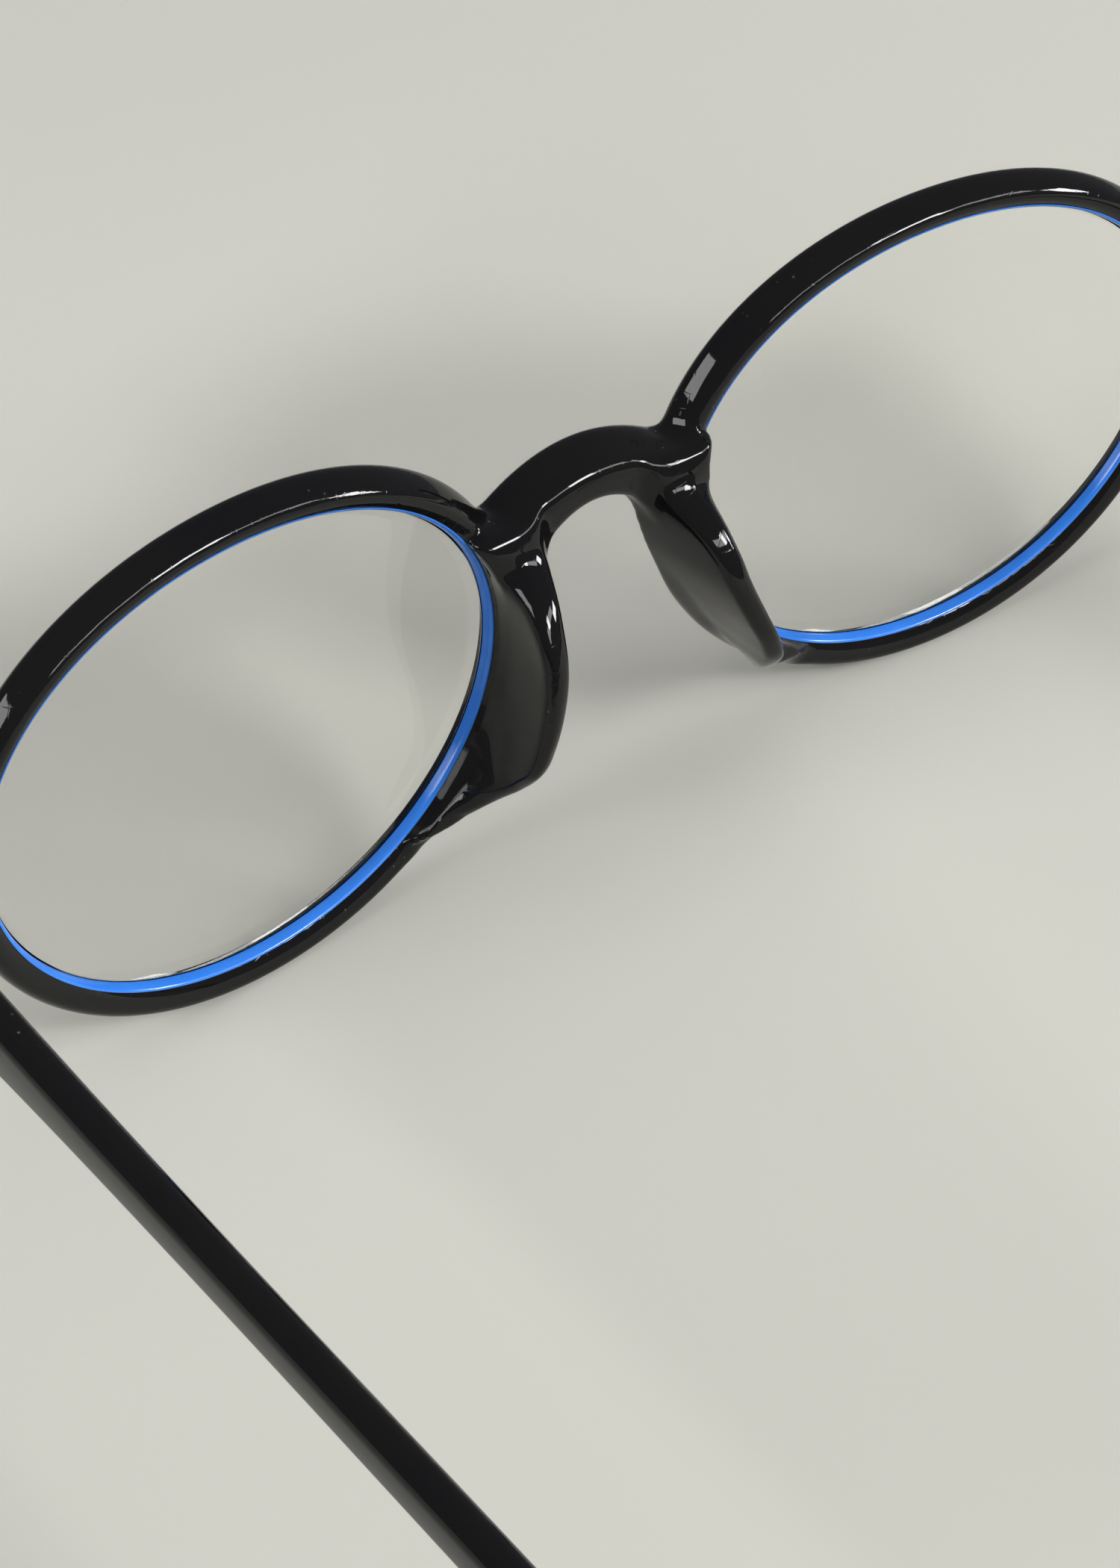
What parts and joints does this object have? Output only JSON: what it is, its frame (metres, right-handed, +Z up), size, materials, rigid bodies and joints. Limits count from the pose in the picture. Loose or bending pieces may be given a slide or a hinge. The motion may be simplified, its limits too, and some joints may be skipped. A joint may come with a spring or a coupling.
{
  "type": "blue light glasses",
  "caption": "Eyeglasses with a thick glossy round front, arched bridge, built-in nose pads, clear filter lenses in coloured liners and folding temples.",
  "frame": {"origin": "centre of the bounding box on the table the glasses stand on", "axes": "+X to the wearer's left, +Y to the rear along the temples, +Z up"},
  "size_m": [0.1364, 0.1502, 0.0453],
  "materials": {
    "black_acetate": "polished",
    "blue_ring": "polished",
    "clear_lens": "clear coated",
    "hinge_steel": "satin",
    "core_wire": "drawn wire"
  },
  "bodies": {
    "front": {"frame_front": "black_acetate", "front_hinge_leaf_left": "hinge_steel", "front_hinge_leaf_right": "hinge_steel", "front_rivet_inner_left": "hinge_steel", "front_rivet_inner_right": "hinge_steel", "front_rivet_outer_left": "hinge_steel", "front_rivet_outer_right": "hinge_steel", "hinge_screw_left": "hinge_steel", "hinge_screw_right": "hinge_steel", "lens_left": "clear_lens", "lens_right": "clear_lens", "lens_ring_left": "blue_ring", "lens_ring_right": "blue_ring"},
    "left_temple": {"core_wire_left": "core_wire", "temple_hinge_leaf_left": "hinge_steel", "temple_left": "black_acetate", "temple_rivet_front_left": "hinge_steel", "temple_rivet_rear_left": "hinge_steel"},
    "right_temple": {"core_wire_right": "core_wire", "temple_hinge_leaf_right": "hinge_steel", "temple_right": "black_acetate", "temple_rivet_front_right": "hinge_steel", "temple_rivet_rear_right": "hinge_steel"}
  },
  "joints": [
    {"name": "left_temple_hinge", "type": "hinge", "parent": "front", "child": "left_temple", "pos_m": [0.0628, -0.06364, 0.02862], "axis": [0, -0.0572, 0.9984], "range_deg": [0, 86]},
    {"name": "right_temple_hinge", "type": "hinge", "parent": "front", "child": "right_temple", "pos_m": [-0.0628, -0.06364, 0.02862], "axis": [0, 0.0572, -0.9984], "range_deg": [0, 75]}
  ]
}
